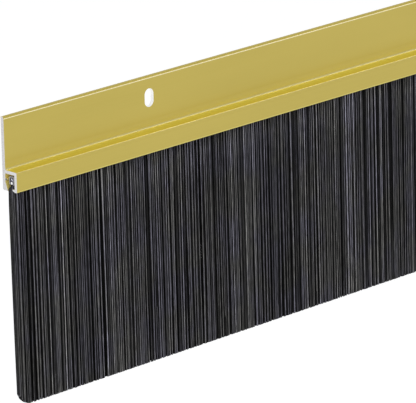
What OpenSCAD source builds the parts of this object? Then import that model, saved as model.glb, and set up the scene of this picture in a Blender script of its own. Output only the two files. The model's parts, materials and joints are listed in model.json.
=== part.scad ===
// Brush door sweep: an extruded aluminium holder with a steel-backed strip brush slid into its pocket.
// The origin is at the middle of the row of fixing slots, on the face that lies against the door.
// +X runs along the door, -Y points away from it, and +Z is up.
// Profiles are drawn as (forward from the door, up from the holder's foot) and run along the length.

/* [Length] */
// Length of the holder and of the brush in it
length = 914.4; // [400:0.1:1500]

/* [Holder] */
// Thickness of the flange
wall = 1.6; // [1.4:0.1:2]
// Thickness of the back leg, below the shelf
leg_t = 1.5; // [1.2:0.1:1.6]
// Thickness of the shelf
shelf_t = 1.25; // [1.1:0.05:1.6]
// Thickness of the front lip
lip_t = 1.25; // [1:0.05:1.6]
// Height of the holder, from its foot to the top of the flange
holder_h = 28.8; // [24:0.1:60]
// Height of the front lip, from the foot to the top of the shelf
lip_h = 8; // [7.8:0.1:11]
// Width inside the pocket, from the back leg to the front lip
pocket_w = 5.1; // [4.9:0.1:6]
// Rounding of the foot and of the lip's outer edges
edge_r = 0.4; // [0.1:0.05:0.45]
// Rounding of the flange's top edges
top_r = 0.15; // [0.05:0.05:0.3]
// Height of the rebate along the front of the flange's top edge
rebate_h = 0.65; // [0.4:0.05:0.8]
// Depth of the rebate
rebate_in = 0.25; // [0.1:0.05:0.35]
// Fall of the rebate's floor towards the front
rebate_fall = 0.1; // [0.05:0.05:0.2]
// Fillet between the flange and the shelf
root_r = 0.7; // [0.2:0.05:2]
// Fillet in the pocket's upper corners
pocket_r = 0.3; // [0.1:0.05:0.4]

/* [Pocket mouth] */
// Reach of the front lip's hook into the pocket
hook_reach = 1.2; // [0.7:0.05:1.4]
// Height of the hook's upper side
hook_h = 1.1; // [1:0.05:1.5]
// Thickness of the hook at its tip
hook_tip = 0.6; // [0.3:0.05:0.7]
// Reach of the back leg's ramp into the pocket
ramp_reach = 1.25; // [0.7:0.05:1.4]
// Height over which the ramp leans in
ramp_h = 3.4; // [2:0.1:3.6]
// Diameter of the bead that keeps the channel over the hook
bead_d = 0.9; // [0.7:0.05:1]
// Depth of the bead's centre below the channel's top
bead_drop = 1.65; // [1.2:0.05:1.8]
// Thickness of the web that carries the bead
web_t = 0.5; // [0.3:0.05:0.6]

/* [Fixing slots] */
// Number of slots
slot_count = 4; // [2:1:6]
// Width of a slot, along the door
slot_w = 4.8; // [3:0.1:6]
// Height of a slot, end to end
slot_h = 7.4; // [6.6:0.1:12]
// Distance of the first and last slot from the ends
slot_inset = 76.2; // [20:0.1:120]
// Depth of the slots' centres below the top edge
slot_drop = 8.7; // [7:0.1:11]

/* [Strip channel] */
// Outside width of the folded steel channel
channel_w = 2.85; // [2.7:0.05:3]
// Outside height of the channel
channel_h = 3.4; // [3.1:0.05:3.8]
// Thickness of the steel strip
channel_t = 0.45; // [0.3:0.05:0.5]
// How far each edge of the channel is pinched in
pinch = 0.25; // [0.1:0.05:0.3]
// Height of the pinched edge
pinch_h = 0.7; // [0.4:0.05:0.9]
// Diameter of the core wire that the filaments are folded over
wire_d = 1.1; // [0.8:0.05:1.2]
// Height of the core wire's centre above the channel's open edge
wire_rise = 0.7; // [0.65:0.05:1.4]

/* [Bristles] */
// Length of the filaments below the holder's foot
bristle_len = 85.6; // [15:0.1:150]
// Thickness of the brush at the tips
tip_w = 2.5; // [2.2:0.1:6]
// Rounding of the trimmed tips
tip_r = 0.5; // [0.2:0.05:1]
// How far the tips stand forward of the pocket's mouth
tip_forward = 0.7; // [0:0.05:3]
// Spacing of the tufts along the brush
tuft_pitch = 3.81; // [2:0.01:8]
// Gap between neighbouring tufts
tuft_gap = 0.2; // [0.1:0.05:0.6]
// Rounding of the brush's lower corners at its two ends
end_round = 4; // [2:0.1:12]

/* [Fits] */
// Clearance of the channel from the front lip
lip_gap = 0.15; // [0.1:0.05:0.3]
// Clearance of the channel from the bead
bead_gap = 1.05; // [0.8:0.05:1.1]
// Clearance above the channel, under the shelf
head_gap = 0.6; // [0.3:0.05:0.8]
// Clearance of the filaments from the pocket's mouth
mouth_gap = 0.25; // [0.15:0.05:0.35]
// Clearance of the filaments from the channel and the wire
pack_gap = 0.05; // [0.03:0.01:0.1]

/* [Hidden] */
$fn = 48;
bundle_count = 12;

// Heights are up from the holder's foot, and depths are forward from the door.
foot_z = slot_drop - holder_h;
depth = leg_t + pocket_w + lip_t;
lip_inner = depth - lip_t;
shelf_under = lip_h - shelf_t;

channel_mid = lip_inner - lip_gap - channel_w / 2;
channel_top = shelf_under - head_gap;
channel_open = channel_top - channel_h;
bead_mid = channel_mid - channel_w / 2 - bead_gap - bead_d / 2;
bead_z = channel_top - bead_drop;
wire_z = channel_open + wire_rise;

mouth_back = leg_t + ramp_reach;
mouth_front = lip_inner - hook_reach;
mouth_mid = (mouth_back + mouth_front) / 2;
throat_half = (mouth_front - mouth_back) / 2 - mouth_gap;
pack_half = channel_w / 2 - channel_t - pack_gap;
neck_half = pack_half - pinch;
tip_mid = mouth_mid + tip_forward;

slot_pitch = (length - 2 * slot_inset) / (slot_count - 1);
tufts_per_bundle = max(1, round(length / tuft_pitch / bundle_count));
tuft_step = length / (tufts_per_bundle * bundle_count);
overcut = 1;

function bundle_name(k) = str("bristles_", k < 10 ? "0" : "", k);

// The tips rise along an arc at the two ends of the brush
function tip_rise(x) =
    let (into = end_round - (length / 2 - abs(x)))
    into > 0 ? end_round - sqrt(end_round * end_round - into * into) : 0;

// Runs a side profile along the length
module run(len) {
    translate([0, 0, foot_z])
        rotate([90, 0, -90])
            linear_extrude(height = len, center = true)
                children();
}

// What lies between a square corner and its rounding. Turned by quarters, it opens towards
// +x+y (0), -x+y (1), -x-y (2) or +x-y (3)
module corner(at, quarter, r) {
    translate(at)
        rotate(90 * quarter)
            difference() {
                translate([-r / 2, -r / 2])
                    square(1.5 * r);
                translate([r, r])
                    circle(r);
            }
}

// Back leg and flange in one wall. At its foot the leg leans in, to narrow the pocket's mouth,
// and along its top the flange is set back by a shallow rebate
module back_wall() {
    polygon([
        [0, 0],
        [mouth_back, 0],
        [leg_t, ramp_h],
        [leg_t, lip_h - shelf_t / 2],
        [wall, lip_h - shelf_t / 2],
        [wall, holder_h - rebate_h - rebate_fall],
        [wall - rebate_in, holder_h - rebate_h],
        [wall - rebate_in, holder_h],
        [0, holder_h]
    ]);
}

// The front lip, with the hook that keeps the channel from dropping out of the mouth
module front_lip() {
    polygon([
        [depth, 0],
        [depth, lip_h],
        [lip_inner, lip_h],
        [lip_inner, hook_h],
        [mouth_front, hook_h],
        [mouth_front, hook_h - hook_tip],
        [lip_inner, 0]
    ]);
}

// The shelf joins the two walls over the pocket
module shelf() {
    translate([leg_t / 2, shelf_under])
        square([depth - leg_t / 2 - lip_t / 2, shelf_t]);
    corner([wall, lip_h], 0, root_r);
    corner([leg_t, shelf_under], 3, pocket_r);
    corner([lip_inner, shelf_under], 2, pocket_r);
}

// A beaded rib on the back leg keeps the channel over the hook
module rib() {
    translate([leg_t / 2, bead_z - web_t / 2])
        square([bead_mid - leg_t / 2, web_t]);
    translate([bead_mid, bead_z])
        circle(d = bead_d);
}

module holder_profile() {
    difference() {
        union() {
            back_wall();
            front_lip();
            shelf();
            rib();
        }
        corner([0, 0], 0, edge_r);
        corner([depth, 0], 1, edge_r);
        corner([depth, lip_h], 2, edge_r);
        corner([wall - rebate_in, holder_h], 2, top_r);
        corner([0, holder_h], 3, top_r);
    }
}

// An upright slot with round ends, cut through the flange at the origin's height
module slot_cut() {
    straight = slot_h - slot_w;
    rotate([90, 0, 0]) {
        for (end = [-1, 1])
            translate([0, end * straight / 2, -overcut])
                cylinder(d = slot_w, h = wall + 2 * overcut);
        translate([-slot_w / 2, -straight / 2, -overcut])
            cube([slot_w, straight, wall + 2 * overcut]);
    }
}

module holder() {
    color("#beac58")
        difference() {
            run(length)
                holder_profile();
            for (i = [0:slot_count - 1])
                translate([i * slot_pitch + slot_inset - length / 2, 0, 0])
                    slot_cut();
        }
}

// The strip's inner or outer outline: bent over at the top, and pinched in at the open edge
module strip_outline(half, h, r) {
    difference() {
        polygon([
            [half - pinch, 0],
            [half, pinch_h],
            [half, h],
            [-half, h],
            [-half, pinch_h],
            [pinch - half, 0]
        ]);
        corner([half, h], 2, r);
        corner([-half, h], 3, r);
    }
}

module channel() {
    outside = channel_w / 2;
    bend_r = 2 * channel_t;
    color("#a9abae")
        run(length)
            translate([channel_mid, channel_open])
                difference() {
                    strip_outline(outside, channel_h, bend_r);
                    strip_outline(outside - channel_t, channel_h - channel_t, bend_r - channel_t);
                }
}

module core_wire() {
    color("#c9c9c6")
        run(length)
            translate([channel_mid, wire_z])
                circle(d = wire_d);
}

// Filaments folded over the wire: packed in the channel, let out through the mouth, spread to level tips
module tuft_profile(tip_z) {
    dome_z = channel_top - channel_t - pack_gap - pack_half;
    pinch_z = channel_open + pinch_h;
    difference() {
        union() {
            translate([channel_mid, dome_z])
                circle(pack_half);
            polygon([
                [channel_mid - pack_half, dome_z],
                [channel_mid - pack_half, pinch_z],
                [channel_mid - neck_half, channel_open],
                [mouth_mid - throat_half, hook_h],
                [mouth_mid - throat_half, 0],
                [tip_mid - tip_w / 2, tip_z],
                [tip_mid + tip_w / 2, tip_z],
                [mouth_mid + throat_half, 0],
                [mouth_mid + throat_half, hook_h],
                [channel_mid + neck_half, channel_open],
                [channel_mid + pack_half, pinch_z],
                [channel_mid + pack_half, dome_z]
            ]);
        }
        translate([channel_mid, wire_z])
            circle(d = wire_d + 2 * pack_gap);
        corner([tip_mid - tip_w / 2, tip_z], 0, tip_r);
        corner([tip_mid + tip_w / 2, tip_z], 1, tip_r);
    }
}

module bristle_bundle(k) {
    color("#2c2c2e")
        for (t = [0:tufts_per_bundle - 1]) {
            x = ((k - 1) * tufts_per_bundle + t + 0.5) * tuft_step - length / 2;
            translate([x, 0, 0])
                run(tuft_step - tuft_gap)
                    tuft_profile(tip_rise(x) - bristle_len);
        }
}

holder();
channel();
core_wire();
for (k = [1:bundle_count])
    bristle_bundle(k);
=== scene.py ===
import json
import math

import bpy
from mathutils import Matrix, Vector


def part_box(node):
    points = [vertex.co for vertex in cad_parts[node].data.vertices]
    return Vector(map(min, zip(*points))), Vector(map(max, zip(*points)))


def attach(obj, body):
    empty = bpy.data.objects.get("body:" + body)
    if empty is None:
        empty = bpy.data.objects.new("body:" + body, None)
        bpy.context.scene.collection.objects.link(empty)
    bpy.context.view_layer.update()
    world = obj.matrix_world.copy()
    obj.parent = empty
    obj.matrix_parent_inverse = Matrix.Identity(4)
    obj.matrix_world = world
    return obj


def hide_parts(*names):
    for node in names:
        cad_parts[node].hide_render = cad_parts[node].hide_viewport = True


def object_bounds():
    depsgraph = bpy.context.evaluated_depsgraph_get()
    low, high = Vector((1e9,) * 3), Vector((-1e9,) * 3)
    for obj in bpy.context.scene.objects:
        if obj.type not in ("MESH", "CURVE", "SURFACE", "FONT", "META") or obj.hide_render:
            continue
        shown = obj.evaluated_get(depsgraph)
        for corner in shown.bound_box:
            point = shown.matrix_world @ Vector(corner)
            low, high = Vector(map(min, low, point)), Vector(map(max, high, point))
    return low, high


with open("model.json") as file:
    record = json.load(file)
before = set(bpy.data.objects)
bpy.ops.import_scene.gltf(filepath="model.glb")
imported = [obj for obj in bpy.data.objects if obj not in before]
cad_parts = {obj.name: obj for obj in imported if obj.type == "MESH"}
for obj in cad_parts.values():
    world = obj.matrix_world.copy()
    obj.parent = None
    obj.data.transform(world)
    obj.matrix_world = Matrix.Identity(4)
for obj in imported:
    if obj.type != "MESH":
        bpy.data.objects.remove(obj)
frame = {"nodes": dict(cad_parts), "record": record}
CAD_LOW, CAD_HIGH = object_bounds()

MM = 0.001
HALF_LENGTH = CAD_HIGH.x / MM
BUNDLES = [node for node in frame["record"]["behaviour"]["bodies"]["brush"] if node.startswith("bristles_")]

# Places on the profile, in millimetres: forward of the door face, and up along Z
HOLDER_LOW, HOLDER_HIGH = (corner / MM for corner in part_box("holder"))
WIRE_LOW, WIRE_HIGH = (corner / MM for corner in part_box("core_wire"))
TUFT_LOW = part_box(BUNDLES[5])[0] / MM
FOOT_Z = HOLDER_LOW.z
TIP_Z = TUFT_LOW.z
FRONT = -HOLDER_LOW.y
WALL, LEG = 1.6, 1.5
LIP_HEIGHT, LIP_INNER, POCKET_HEIGHT = 8.0, 6.6, 6.75
BEAD_FORWARD, BEAD_Z = 2.1, FOOT_Z + 4.5
WIRE_FORWARD = -(WIRE_LOW.y + WIRE_HIGH.y) / 2
WIRE_Z = (WIRE_LOW.z + WIRE_HIGH.z) / 2
WIRE_RADIUS = (WIRE_HIGH.z - WIRE_LOW.z) / 2
TIP_HALF, TIP_ROUND = 1.25, 0.25
TIP_FORWARD = -TUFT_LOW.y - TIP_HALF
MOUTH_FORWARD = TIP_FORWARD - 0.7
END_ROUND = 5.5

# How near to a face counts as on it, in millimetres
HAIR = 0.01


class Nodes:
    """Adds nodes to a tree. An input given a socket is linked to it, and any other input is set."""

    def __init__(self, tree):
        self.tree = tree

    def fill(self, node, inputs):
        for key, value in inputs.items():
            if isinstance(value, bpy.types.NodeSocket):
                self.tree.links.new(value, node.inputs[key])
            else:
                node.inputs[key].default_value = value
        return node

    def add(self, kind, inputs=None, **settings):
        node = self.tree.nodes.new(kind)
        for name, value in settings.items():
            setattr(node, name, value)
        return self.fill(node, inputs or {})

    def math(self, operation, *values, clamp=False):
        node = self.add("ShaderNodeMath", dict(enumerate(values)), operation=operation, use_clamp=clamp)
        return node.outputs[0]

    def fold(self, operation, first, *rest):
        for value in rest:
            first = self.math(operation, first, value)
        return first

    def product(self, *values):
        return self.fold("MULTIPLY", *values)

    def total(self, *values):
        return self.fold("ADD", *values)

    def minus(self, first, second, clamp=False):
        return self.math("SUBTRACT", first, second, clamp=clamp)

    def size(self, value):
        return self.math("ABSOLUTE", value)

    def above(self, value, limit):
        return self.math("GREATER_THAN", value, limit)

    def below(self, value, limit):
        return self.math("LESS_THAN", value, limit)

    def within(self, value, middle, half):
        return self.math("COMPARE", value, middle, half)

    def bounded(self, value, low, high):
        return self.math("MAXIMUM", self.math("MINIMUM", value, high), low)

    def span(self, value, low, high, to_low=0.0, to_high=1.0, smooth=False):
        """Maps low..high to to_low..to_high, and no further"""
        node = self.add("ShaderNodeMapRange", {0: value, 1: low, 2: high, 3: to_low, 4: to_high})
        node.interpolation_type = "SMOOTHSTEP" if smooth else "LINEAR"
        return node.outputs[0]

    def blend(self, share, first, second, mode="MIX"):
        node = self.add("ShaderNodeMix", data_type="RGBA", blend_type=mode)
        return self.fill(node, {0: share, 6: first, 7: second}).outputs[2]

    def scale(self, vector, factor):
        return self.add("ShaderNodeVectorMath", {0: vector, 3: factor}, operation="SCALE").outputs[0]


# ---------------------------------------------------------------- camera

CAMERA_AIM, CAMERA_DISTANCE = Vector((-0.34878, 0.0, -0.04992)), 1.85920
CAMERA_LENS, SENSOR_WIDTH = 406.624, 36.0
YAW, PITCH, ROLL = (math.radians(angle) for angle in (-44.431, 17.007, -1.332))


def place_camera():
    back = Vector((math.sin(YAW) * math.cos(PITCH), -math.cos(YAW) * math.cos(PITCH), math.sin(PITCH)))
    right = (-back).cross(Vector((0, 0, 1))).normalized()
    up = right.cross(-back)
    across = right * math.cos(ROLL) + up * math.sin(ROLL)
    upright = up * math.cos(ROLL) - right * math.sin(ROLL)
    data = bpy.data.cameras.new("camera")
    data.lens, data.sensor_width = CAMERA_LENS, SENSOR_WIDTH
    data.clip_start, data.clip_end = 0.05, 100.0
    camera = bpy.data.objects.new("camera", data)
    camera.matrix_world = Matrix.Translation(CAMERA_AIM + back * CAMERA_DISTANCE) @ Matrix(
        (across, upright, back)).transposed().to_4x4()
    bpy.context.scene.collection.objects.link(camera)
    bpy.context.scene.camera = camera


# ---------------------------------------------------------------- studio

WORLD_FILL, FLOOR_GLOW = 0.55, 0.55
FLOOR_REACH, FLOOR_HEIGHT = 40.0, -0.9
FLOOR_CORNERS = ((-1, -1), (1, -1), (1, 1), (-1, 1))
LAMP_AIM = Vector((-0.33, 0.0, -0.05))

# Name, place from the aim, side in metres and power in watts
LAMPS = [
    ("key", (1.31, -0.15, 1.50), 0.6, 6),
    ("front", (-1.2, -1.8, 0.9), 1.6, 20),
    ("side", (-2.0, -0.5, 0.3), 0.8, 12),
]


def seen_directly(nodes):
    """1 for what the camera sees, straight or through gloss and glass"""
    path = nodes.add("ShaderNodeLightPath").outputs
    return nodes.fold("MAXIMUM", path["Is Camera Ray"], path["Is Glossy Ray"], path["Is Transmission Ray"])


def build_world():
    """White where it's seen, and dimmer and a little cooler where it lights the scene"""
    world = bpy.data.worlds.new("studio")
    bpy.context.scene.world = world
    world.use_nodes = True
    world.node_tree.nodes.clear()
    nodes = Nodes(world.node_tree)
    backdrop = nodes.add("ShaderNodeBackground", {"Color": (1, 1, 1, 1), "Strength": 1.0})
    fill = nodes.add("ShaderNodeBackground", {"Color": (0.97, 0.98, 1, 1), "Strength": WORLD_FILL})
    both = nodes.add("ShaderNodeMixShader", {
        0: seen_directly(nodes), 1: fill.outputs[0], 2: backdrop.outputs[0]})
    nodes.add("ShaderNodeOutputWorld", {0: both.outputs[0]})


def start_finish(name):
    material = bpy.data.materials.new(name)
    material.use_nodes = True
    material.node_tree.nodes.clear()
    return material, Nodes(material.node_tree)


def end_finish(nodes, shader):
    nodes.add("ShaderNodeOutputMaterial", {0: shader.outputs[0]})


def build_floor():
    material, nodes = start_finish("pale_floor")
    paint = nodes.add("ShaderNodeBsdfDiffuse", {"Color": (0.8, 0.8, 0.8, 1)})
    glow = nodes.add("ShaderNodeEmission", {
        "Color": (1, 1, 1, 1), "Strength": nodes.product(seen_directly(nodes), FLOOR_GLOW)})
    both = nodes.add("ShaderNodeAddShader", {0: paint.outputs[0], 1: glow.outputs[0]})
    # Clear from underneath, so that the brush can be looked at from below
    clear = nodes.add("ShaderNodeBsdfTransparent")
    underneath = nodes.add("ShaderNodeNewGeometry").outputs["Backfacing"]
    end_finish(nodes, nodes.add("ShaderNodeMixShader", {
        0: underneath, 1: both.outputs[0], 2: clear.outputs[0]}))

    mesh = bpy.data.meshes.new("floor")
    corners = [(x * FLOOR_REACH, y * FLOOR_REACH, FLOOR_HEIGHT) for x, y in FLOOR_CORNERS]
    mesh.from_pydata(corners, [], [(0, 1, 2, 3)])
    mesh.materials.append(material)
    floor = bpy.data.objects.new("floor", mesh)
    bpy.context.scene.collection.objects.link(floor)


def add_lamp(name, away, side, power):
    """A square soft box that faces the middle of what the camera sees"""
    data = bpy.data.lights.new(name, "AREA")
    data.shape, data.size, data.energy = "SQUARE", side, power
    lamp = bpy.data.objects.new(name, data)
    lamp.location = LAMP_AIM + Vector(away)
    lamp.rotation_euler = (-Vector(away)).to_track_quat("-Z", "Y").to_euler()
    bpy.context.scene.collection.objects.link(lamp)


# ---------------------------------------------------------------- finishes

# Where the holder's finish changes, in millimetres. A band is its middle and half its height, and a fade
# is where it starts to fall from 1 and where it reaches 0
SLOT_REACH = 5.0
REBATE_BAND, REBATE_DEEPEST = (HOLDER_HIGH.z - 0.82, 0.14), 0.3
TOP_EDGE = HOLDER_HIGH.z - 0.3
SHELF_BAND = (0.0, 0.02)
ROOT_REACH, ROOT_START = 0.8, 0.03
CORNER_FADE, FILLET_FADE = (0.8, 3.4, 1.0, 0.0), (0.4, 0.65, 1.0, 0.0)
LIP_FACE, LIP_TOP_BAND, LIP_FOOT = FRONT - 0.45, (-0.18, 0.16), FOOT_Z + 0.55
POCKET_MARGIN = 0.05
BEAD_HALF_WIDTH, BEAD_HALF_HEIGHT = 0.57, 0.6


def object_place(nodes):
    """Object coordinates in millimetres, whole and one by one"""
    scaled = nodes.scale(nodes.add("ShaderNodeTexCoord").outputs["Object"], 1 / MM)
    return scaled, nodes.add("ShaderNodeSeparateXYZ", {0: scaled}).outputs


def on_sawn_end(nodes, axis):
    return nodes.above(nodes.size(axis["X"]), HALF_LENGTH - HAIR)


def stretched_noise(nodes, place, scale, detail=3.0, roughness=0.5):
    """Noise with its own frequency, per millimetre, along each axis"""
    stretched = nodes.add("ShaderNodeMapping", {"Vector": place, "Scale": scale}).outputs[0]
    return nodes.add("ShaderNodeTexNoise", {
        "Vector": stretched, "Scale": 1.0, "Detail": detail, "Roughness": roughness}).outputs[0]


def gold_anodised():
    """Anodised before the slots were punched and the ends sawn, so those show bare metal"""
    material, nodes = start_finish("gold_anodised_extrusion")
    place, axis = object_place(nodes)
    forward = nodes.product(axis["Y"], -1.0)
    over_shelf = nodes.minus(axis["Z"], FOOT_Z + LIP_HEIGHT)

    # Where the metal is bare: the sawn ends, and the walls of the punched slots
    at_end = on_sawn_end(nodes, axis)
    in_wall = nodes.below(nodes.size(nodes.total(axis["Y"], WALL / 2)), WALL / 2 - HAIR)
    in_slot = nodes.product(nodes.below(nodes.size(axis["Z"]), SLOT_REACH), in_wall)
    bare = nodes.math("MAXIMUM", at_end, in_slot)

    # Where the gold differs from the flat faces, mostly as painted light and shade: a painted highlight at
    # the edge of the rebate, painted light on the corner over the shelf, painted shade that dims and pales
    # the highlight in its root, painted highlights at the lip's upper and lower front edges, painted light on
    # the shelf, painted shade on the flange's top edge, and painted light in the pocket, where the finish
    # also isn't polished
    rebate_painted_highlight = nodes.product(
        nodes.above(forward, WALL - REBATE_DEEPEST), nodes.within(axis["Z"], *REBATE_BAND))
    at_root = nodes.product(nodes.below(forward, WALL + ROOT_REACH), nodes.above(over_shelf, ROOT_START))
    corner = nodes.product(at_root, nodes.span(over_shelf, *CORNER_FADE))
    fillet = nodes.product(at_root, nodes.span(over_shelf, *FILLET_FADE))
    on_lip = nodes.above(forward, LIP_FACE)
    lip_top_painted_highlight = nodes.product(on_lip, nodes.within(over_shelf, *LIP_TOP_BAND))
    lip_foot_painted_highlight = nodes.product(on_lip, nodes.below(axis["Z"], LIP_FOOT))
    shelf_painted_light = nodes.within(over_shelf, *SHELF_BAND)
    on_top = nodes.above(axis["Z"], TOP_EDGE)
    in_pocket = nodes.product(
        nodes.within(forward, (LEG + LIP_INNER) / 2, (LIP_INNER - LEG) / 2 + POCKET_MARGIN),
        nodes.below(axis["Z"], FOOT_Z + POCKET_HEIGHT + POCKET_MARGIN))

    die_lines = stretched_noise(nodes, place, (0.004, 5.0, 5.0), detail=4.0, roughness=0.6)
    cloud = stretched_noise(nodes, place, (0.01, 0.06, 0.06), detail=2.0)
    saw_marks = stretched_noise(nodes, place, (1.0, 0.8, 6.0), detail=3.0, roughness=0.6)

    gold = nodes.blend(nodes.span(cloud, 0.35, 0.65), (0.485, 0.385, 0.075, 1), (0.51, 0.405, 0.082, 1))
    gold = nodes.blend(nodes.span(die_lines, 0.3, 0.7, 0.0, 0.25), gold, (0.58, 0.47, 0.115, 1))
    for where, shade in (
            # Painted light over the shelf, against the shelf's dark reflection in the flange
            (corner, (0.60, 0.52, 0.19, 1)),
            # Painted shade that dims and pales the highlight in the root fillet
            (fillet, (0.41, 0.352, 0.125, 1)),
            # Painted highlight, paler, along the lip's upper front edge
            (lip_top_painted_highlight, (0.475, 0.385, 0.12, 1)),
            # Painted highlight along the lip's lower front edge
            (lip_foot_painted_highlight, (0.62, 0.53, 0.13, 1)),
            # Painted light on the shelf's top, brighter and deeper gold
            (shelf_painted_light, (0.80, 0.67, 0.046, 1)),
            # Painted shade on the flange's top edge, against its highlight
            (on_top, (0.42, 0.335, 0.05, 1)),
            # Painted highlight along the edge of the rebate
            (rebate_painted_highlight, (0.86, 0.79, 0.51, 1)),
            # Painted light in the pocket, a paler gold than the faces
            (in_pocket, (0.85, 0.70, 0.20, 1))):
        gold = nodes.blend(where, gold, shade)

    # The sawn metal is a little brighter towards the lip, the slots' walls are brighter still, and the
    # end of the pocket's thin bead is painted dark, as painted shade in the pocket
    bright = (0.86, 0.86, 0.85, 1)
    bead_painted_shade = nodes.product(nodes.within(forward, BEAD_FORWARD, BEAD_HALF_WIDTH), nodes.within(
        axis["Z"], BEAD_Z, BEAD_HALF_HEIGHT))
    metal = nodes.blend(nodes.span(saw_marks, 0.35, 0.65), (0.53, 0.52, 0.52, 1), (0.68, 0.67, 0.67, 1))
    metal = nodes.blend(nodes.span(forward, LEG + 0.5, LIP_INNER, 0.0, 0.25), metal, bright)
    metal = nodes.blend(nodes.minus(in_slot, at_end, clamp=True), metal, bright)
    metal = nodes.blend(bead_painted_shade, metal, (0.15, 0.15, 0.16, 1))

    flat = nodes.minus(in_pocket, bare, clamp=True)
    rougher = nodes.math("MAXIMUM", nodes.product(bare, 0.05), nodes.product(on_top, 0.25))
    marks = nodes.add("ShaderNodeMix", {0: bare, 2: die_lines, 3: saw_marks}, data_type="FLOAT").outputs[0]
    bump = nodes.add("ShaderNodeBump", {"Strength": 0.08, "Distance": 0.0002, "Height": marks})
    shader = nodes.add("ShaderNodeBsdfPrincipled", {
        "Base Color": nodes.blend(bare, gold, metal),
        "Roughness": nodes.total(nodes.span(die_lines, 0.3, 0.7, 0.33, 0.43), rougher),
        "Metallic": nodes.minus(0.85, nodes.product(flat, 0.65)),
        "Normal": bump.outputs[0], "Coat Weight": 0.3, "Coat Roughness": 0.25})
    end_finish(nodes, shader)
    return material


def drawn_steel(name, dark, light, cut, grain):
    """Steel with lines along its length, and another colour where it's cut off"""
    material, nodes = start_finish(name)
    place, axis = object_place(nodes)
    lines = stretched_noise(nodes, place, grain, detail=3.0, roughness=0.6)
    colour = nodes.blend(nodes.span(lines, 0.3, 0.7), dark, light)
    colour = nodes.blend(on_sawn_end(nodes, axis), colour, cut)
    bump = nodes.add("ShaderNodeBump", {"Strength": 0.15, "Distance": 0.0001, "Height": lines})
    shader = nodes.add("ShaderNodeBsdfPrincipled", {
        "Base Color": colour, "Roughness": nodes.span(lines, 0.3, 0.7, 0.25, 0.42), "Metallic": 0.95,
        "Normal": bump.outputs[0]})
    end_finish(nodes, shader)
    return material


def black_nylon():
    """Each filament carries its own tone and painted light, the noise runs along it, and the tint drifts over
    the brush
    """
    material, nodes = start_finish("black_nylon_filament")
    place, axis = object_place(nodes)
    tone = nodes.add("ShaderNodeAttribute", attribute_name="filament_tone_and_light").outputs["Fac"]
    tint = nodes.span(stretched_noise(nodes, place, (0.1, 0.1, 0.06), detail=2.0), 0.4, 0.6)
    along = stretched_noise(nodes, place, (3.0, 3.0, 0.25), detail=3.0)
    ramp = nodes.add("ShaderNodeValToRGB", {0: tone})
    stops = ramp.color_ramp.elements
    stops[0].position, stops[0].color = 0.0, (0.0008, 0.0008, 0.0008, 1)
    stops[1].position, stops[1].color = 1.0, (0.35, 0.35, 0.35, 1)
    for position, grey in ((0.15, 0.010), (0.35, 0.045), (0.7, 0.12)):
        stops.new(position).color = (grey, grey, grey, 1)
    hue = nodes.blend(tint, (1.02, 1.01, 0.98, 1), (0.965, 0.95, 1.14, 1))
    colour = nodes.blend(1.0, ramp.outputs[0], hue, "MULTIPLY")
    # Painted light: the colour is raised by 1.17 down the brush and by up to 1.75 close under the holder,
    # against the lip's shade
    under_lip_painted_light = nodes.span(axis["Z"], FOOT_Z - 25.0, FOOT_Z - 1.0, 1.17, 1.75, smooth=True)
    colour = nodes.scale(colour, nodes.product(nodes.span(along, 0.3, 0.7, 0.5, 1.5), under_lip_painted_light))
    # A painted highlight: the folds at the sawn ends are painted pale as a glint, which the tone gives as
    # more than 1
    colour = nodes.blend(nodes.span(tone, 1.2, 1.6), colour, (0.85, 0.85, 0.85, 1))
    shader = nodes.add("ShaderNodeBsdfPrincipled", {
        "Base Color": colour, "Roughness": nodes.span(along, 0.3, 0.7, 0.34, 0.5), "IOR": 1.53,
        "Specular IOR Level": 0.06})
    end_finish(nodes, shader)
    return material


# ---------------------------------------------------------------- filaments

FILAMENTS_PER_MM, FILAMENT_DIAMETER = 22, 0.28
CLUMP_WIDTH, STRAND_WIDTH = 5.5, 1.05
# The share of the way to the middle of its clump, or of its strand, that a filament is drawn
CLUMP_DRAW, STRAND_DRAW = 0.06, 0.65
# How far the tips lean along the door by clump, by strand and by filament, in millimetres
CLUMP_LEAN, STRAND_LEAN, OWN_LEAN = 0.15, 0.55, 0.25
# How uneven clumps and strands are, and what keeps those of the two skins apart
CLUMP_UNEVEN, STRAND_UNEVEN = 1.0, 0.5
CLUMP_SHIFT, STRAND_SHIFT = 137.0, 411.0
# Chances: of a filament's step along the door, its bends, its strand's depth and its trimmed tip
STEP_CHANCE, WANDER, STRAND_DEPTH, TRIM_CHANCE = 0.4, 0.12, 0.2, (0.01, 0.05)
GOLDEN_SHARE = 0.6180339

# Spans: a value's low and high ends, and what they map to
SKIN = (0.3, 0.7)
FREE_TO_LEAN = (0.5, 6.0, 0.1, 1.0)
TIP_SPREAD = (0.8, 1.0, 1.0, 0.3)
END_CROWD = (0.0, 3.0, 0.6, 0.0)
# Painted light on the outermost filaments and on the brush's ends, and painted shade in the seams
PAINTED_LIGHT_SKIN, PAINTED_LIGHT_END = (0.5, 0.95, 0.05, 1.0), (0.3, 1.2, 1.0, 0.0)
CLUMP_SEAM_SHADE, STRAND_SEAM_SHADE = (0.03, 0.15), (0.08, 0.33, 0.1, 1.0)
TONES = (0.0, 1.0, 0.48, 0.95)
# Where the painted glint lies on the folds at the sawn ends
GLINT_END, GLINT_SIDE = (0.0, 1.2, 2.0, 0.0), (0.5, 0.6)

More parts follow.
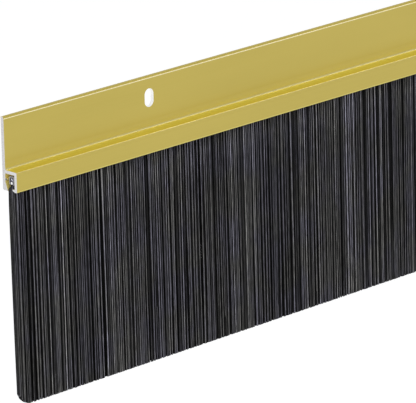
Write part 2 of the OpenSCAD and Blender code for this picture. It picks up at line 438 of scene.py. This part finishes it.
# One row a station down a filament, from the fold over the core wire to the tip: height, middle of the
# brush, how far a filament stands out on its own side of the wire, how far the brush spreads through its
# depth, and the share that the filament has swung along the door by there
STATIONS = [
    (WIRE_Z + WIRE_RADIUS + 0.25, WIRE_FORWARD, 0.05, 0.05, 0.0),
    (WIRE_Z + WIRE_RADIUS * 0.8, WIRE_FORWARD, 0.60, 0.05, 0.0),
    (WIRE_Z - 0.2, WIRE_FORWARD, 0.70, 0.05, 0.0),
    (FOOT_Z + 2.3, WIRE_FORWARD, 0.15, 0.35, 0.0),
    (FOOT_Z + 0.5, MOUTH_FORWARD, 0.0, 1.10, 0.15),
    (FOOT_Z - 6.0, MOUTH_FORWARD + 0.02, 0.0, 1.22, 0.2),
    (FOOT_Z - 32.0, MOUTH_FORWARD + 0.18, 0.0, 1.22, 0.5),
    (FOOT_Z - 59.0, MOUTH_FORWARD + 0.42, 0.0, 1.18, 0.8),
    (TIP_Z, TIP_FORWARD, 0.0, TIP_HALF - 0.15, 1.0),
]

FILAMENT_INPUTS = {
    "Start": "NodeSocketFloat",
    "Run": "NodeSocketFloat",
    "Filaments": "NodeSocketInt",
    "Diameter": "NodeSocketFloat",
    "Clump width": "NodeSocketFloat",
    "Strand width": "NodeSocketFloat",
    "Clump pull": "NodeSocketFloat",
    "Lean": "NodeSocketFloat",
    "Half length": "NodeSocketFloat",
    "End round": "NodeSocketFloat",
    "Seed": "NodeSocketInt",
    "Finish": "NodeSocketMaterial",
}


def filament_tree():
    """Filaments side by side along the door, each a bent thin rod from the core wire to its tip"""
    tree = bpy.data.node_groups.new("filament_row", "GeometryNodeTree")
    tree.interface.new_socket("Geometry", in_out="INPUT", socket_type="NodeSocketGeometry")
    for name, kind in FILAMENT_INPUTS.items():
        tree.interface.new_socket(name, in_out="INPUT", socket_type=kind)
    tree.interface.new_socket("Geometry", in_out="OUTPUT", socket_type="NodeSocketGeometry")
    nodes = Nodes(tree)
    given = nodes.add("NodeGroupInput").outputs
    count = len(STATIONS)

    # Each point's filament, and its station down that filament
    index = nodes.add("GeometryNodeInputIndex").outputs[0]
    filament = nodes.math("FLOOR", nodes.math("DIVIDE", nodes.total(index, 0.5), float(count)))
    station = nodes.minus(index, nodes.product(filament, float(count)))
    at_fold = nodes.below(station, 0.5)
    at_tip = nodes.above(station, count - 1.5)

    def by_station(values):
        switch = nodes.add("GeometryNodeIndexSwitch", data_type="FLOAT")
        while len(switch.index_switch_items) < count:
            switch.index_switch_items.new()
        nodes.fill(switch, {"Index": station})
        for item, value in enumerate(values):
            switch.inputs[item + 1].default_value = value
        return switch.outputs[0]

    height, middle, side_reach, spread, swing = (by_station(values) for values in zip(*STATIONS))

    def chance(number, low=-1.0, high=1.0, of=filament):
        node = nodes.add("FunctionNodeRandomValue", data_type="FLOAT")
        seed = nodes.total(nodes.product(given["Seed"], 31.0), float(number))
        sockets = {socket.identifier: socket for socket in node.inputs}
        sockets["Min_001"].default_value, sockets["Max_001"].default_value = low, high
        tree.links.new(of, sockets["ID"])
        tree.links.new(seed, sockets["Seed"])
        return node.outputs[1]

    def both_ways(value):
        """Maps 0..1 to -1..1"""
        return nodes.minus(nodes.product(value, 2.0), 1.0)

    def arc(radius, into):
        """How far a quarter circle has risen by this much into it"""
        return nodes.minus(radius, nodes.math("SQRT", nodes.minus(
            nodes.product(radius, radius), nodes.product(into, into))))

    # Through the brush: the golden ratio keeps neighbours at different depths. Those in the core hang
    # evenly, and those in the two outer skins are drawn together in clumps
    layer = both_ways(nodes.math("FRACT", nodes.product(filament, GOLDEN_SHARE)))
    side = nodes.math("SIGN", layer)
    outness = nodes.size(layer)
    skin = nodes.span(outness, *SKIN, smooth=True)

    # Along the door: even steps with a little chance
    step = nodes.total(filament, 0.5, chance(1, -STEP_CHANCE, STEP_CHANCE))
    root = nodes.total(given["Start"], nodes.product(
        given["Run"], nodes.math("DIVIDE", step, given["Filaments"])))
    from_end = nodes.minus(given["Half length"], nodes.size(root))

    def clumps(width, shift, uneven):
        """The chances of the clump that a filament is in, and the ways to its middle and to its edge"""
        along = nodes.total(nodes.math("DIVIDE", root, width), nodes.product(side, shift))
        inputs = {"W": along, "Scale": 1.0, "Randomness": uneven}
        cells = nodes.add("ShaderNodeTexVoronoi", inputs, voronoi_dimensions="1D")
        edges = nodes.add("ShaderNodeTexVoronoi", inputs, voronoi_dimensions="1D", feature="DISTANCE_TO_EDGE")
        way = nodes.product(nodes.minus(cells.outputs["W"], along), width)
        to_edge = nodes.product(edges.outputs["Distance"], width)
        return nodes.add("ShaderNodeSeparateXYZ", {0: cells.outputs["Color"]}).outputs, way, to_edge

    clump_chance, clump_way, clump_edge = clumps(given["Clump width"], CLUMP_SHIFT, CLUMP_UNEVEN)
    strand_chance, strand_way, strand_edge = clumps(given["Strand width"], STRAND_SHIFT, STRAND_UNEVEN)

    # The last filaments at the brush's two ends hang straight and close together, so the ends stay full.
    # Towards the trimmed tips all the others spread again, which keeps the foot of the brush straight
    free = nodes.span(from_end, *FREE_TO_LEAN)
    pull = nodes.total(nodes.product(clump_way, CLUMP_DRAW), nodes.product(strand_way, STRAND_DRAW))
    pull = nodes.product(pull, given["Clump pull"], nodes.product(skin, free), nodes.span(swing, *TIP_SPREAD))
    swung = nodes.product(swing, free)
    lean = nodes.total(
        nodes.product(both_ways(clump_chance["X"]), CLUMP_LEAN),
        nodes.product(both_ways(strand_chance["X"]), STRAND_LEAN, skin),
        nodes.product(chance(2), OWN_LEAN))
    lean = nodes.product(lean, given["Lean"], swung)
    wander = nodes.product(chance(3, -WANDER, WANDER, of=index), swung)
    outward = nodes.product(nodes.math("SIGN", root), from_end, nodes.span(from_end, *END_CROWD))
    across = nodes.total(nodes.total(root, pull), nodes.total(lean, wander), outward)
    reach = nodes.minus(given["Half length"], nodes.product(given["Diameter"], 0.5))
    across = nodes.bounded(across, nodes.product(reach, -1.0), reach)

    # A strand stands a little forward of the next or behind it
    shift = nodes.product(nodes.minus(strand_chance["Y"], 0.5), STRAND_DEPTH)
    layer_out = nodes.bounded(nodes.total(layer, shift), -1.0, 1.0)
    forward = nodes.total(nodes.product(side, side_reach), nodes.product(layer_out, spread), middle)

    # Tips are trimmed level, a little rounded to the front and back, and to an arc at the brush's two ends
    into_edge = nodes.math("MAXIMUM", nodes.minus(
        nodes.product(nodes.size(layer_out), TIP_HALF - 0.1), TIP_HALF - TIP_ROUND), 0.0)
    into_end = nodes.math("MAXIMUM", nodes.total(
        nodes.minus(nodes.size(across), given["Half length"]), given["End round"]), 0.0)
    trim = nodes.total(arc(TIP_ROUND, into_edge), arc(given["End round"], into_end), chance(4, *TRIM_CHANCE))
    up = nodes.total(height, nodes.product(at_tip, trim), nodes.product(at_fold, outness))

    # Tone goes mostly by the filament, with painted light and shade over it: only the outermost, at the two
    # skins and on the brush's ends, are painted lit, and the core and the seams between clumps and strands
    # are painted dark
    painted_light_share = nodes.math("MAXIMUM", nodes.span(outness, *PAINTED_LIGHT_SKIN), nodes.span(from_end, *PAINTED_LIGHT_END))
    tone = nodes.total(nodes.product(strand_chance["Z"], 0.5), nodes.product(chance(5, 0.0, 1.0), 0.5))
    tone = nodes.product(
        painted_light_share, nodes.span(clump_edge, *CLUMP_SEAM_SHADE), nodes.span(tone, *TONES),
        nodes.span(strand_edge, *STRAND_SEAM_SHADE))
    # A painted highlight: the folds at the sawn ends are painted pale, as a glint
    painted_glint = nodes.product(at_fold, nodes.span(from_end, *GLINT_END), nodes.span(outness, *GLINT_SIDE))
    tone = nodes.math("MAXIMUM", tone, painted_glint)

    place = nodes.add("ShaderNodeCombineXYZ", {0: across, 1: nodes.product(forward, -1.0), 2: up}).outputs[0]
    points = nodes.add("GeometryNodePoints", {
        "Count": nodes.product(given["Filaments"], float(count)), "Position": nodes.scale(place, MM)})
    toned = nodes.add("GeometryNodeStoreNamedAttribute", {
        "Geometry": points.outputs[0], "Name": "filament_tone_and_light"}, data_type="FLOAT", domain="POINT")
    tree.links.new(tone, next(socket for socket in toned.inputs if socket.name == "Value" and socket.enabled))
    lines = nodes.add("GeometryNodePointsToCurves", {
        "Points": toned.outputs[0], "Curve Group ID": filament, "Weight": station})
    tilt = nodes.add("GeometryNodeSetCurveTilt", {"Curve": lines.outputs[0], "Tilt": nodes.add(
        "ShaderNodeTexWhiteNoise", {"W": nodes.add("GeometryNodeSplineParameter").outputs["Index"]},
        noise_dimensions="1D").outputs[0]})
    outline = nodes.add("GeometryNodeCurvePrimitiveCircle", {
        "Resolution": 4, "Radius": nodes.product(given["Diameter"], 0.5 * MM)})
    rods = nodes.add("GeometryNodeCurveToMesh", {
        "Curve": tilt.outputs[0], "Profile Curve": outline.outputs[0], "Fill Caps": True})
    smooth = nodes.add("GeometryNodeSetShadeSmooth", {"Geometry": rods.outputs[0]})
    whole = nodes.add("GeometryNodeRealizeInstances", {0: smooth.outputs[0]})
    finished = nodes.add("GeometryNodeSetMaterial", {
        "Geometry": whole.outputs[0], "Material": given["Finish"]})
    nodes.add("NodeGroupOutput", {0: finished.outputs[0]})
    return tree


def build_bristles(finish):
    tree = filament_tree()
    run = 2 * HALF_LENGTH / len(BUNDLES)
    for number, node in enumerate(BUNDLES):
        carrier = bpy.data.objects.new("row", bpy.data.meshes.new("row"))
        bpy.context.scene.collection.objects.link(carrier)
        modifier = carrier.modifiers.new("filaments", "NODES")
        modifier.node_group = tree
        sizes = {
            "Start": number * run - HALF_LENGTH, "Run": run, "Filaments": round(run * FILAMENTS_PER_MM),
            "Diameter": FILAMENT_DIAMETER, "Clump width": CLUMP_WIDTH, "Strand width": STRAND_WIDTH,
            "Clump pull": 1.0, "Lean": 1.0, "Half length": HALF_LENGTH, "End round": END_ROUND,
            "Seed": number + 1, "Finish": finish}
        for socket in tree.interface.items_tree:
            if socket.in_out == "INPUT" and socket.name in sizes:
                modifier[socket.identifier] = sizes[socket.name]
        graph = bpy.context.evaluated_depsgraph_get()
        mesh = bpy.data.meshes.new_from_object(carrier.evaluated_get(graph), depsgraph=graph)
        bpy.data.objects.remove(carrier)
        piece = bpy.data.objects.new("filaments_" + node[-2:], mesh)
        bpy.context.scene.collection.objects.link(piece)
        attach(piece, "brush")
        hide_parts(node)


# ---------------------------------------------------------------- the whole

bpy.context.scene.view_settings.view_transform = "Standard"
place_camera()
build_world()
build_floor()
for name, away, side, power in LAMPS:
    add_lamp(name, away, side, power)

finishes = {
    "holder": gold_anodised(),
    "channel": drawn_steel("galvanised_strip", dark=(0.50, 0.51, 0.53, 1), light=(0.68, 0.69, 0.71, 1),
                           cut=(0.30, 0.29, 0.29, 1), grain=(0.3, 2.0, 2.0)),
    "core_wire": drawn_steel("bright_wire", dark=(0.60, 0.60, 0.60, 1), light=(0.80, 0.80, 0.79, 1),
                             cut=(0.90, 0.90, 0.90, 1), grain=(0.05, 6.0, 6.0)),
}
for node, finish in finishes.items():
    frame["nodes"][node].material_slots[0].material = finish

build_bristles(black_nylon())
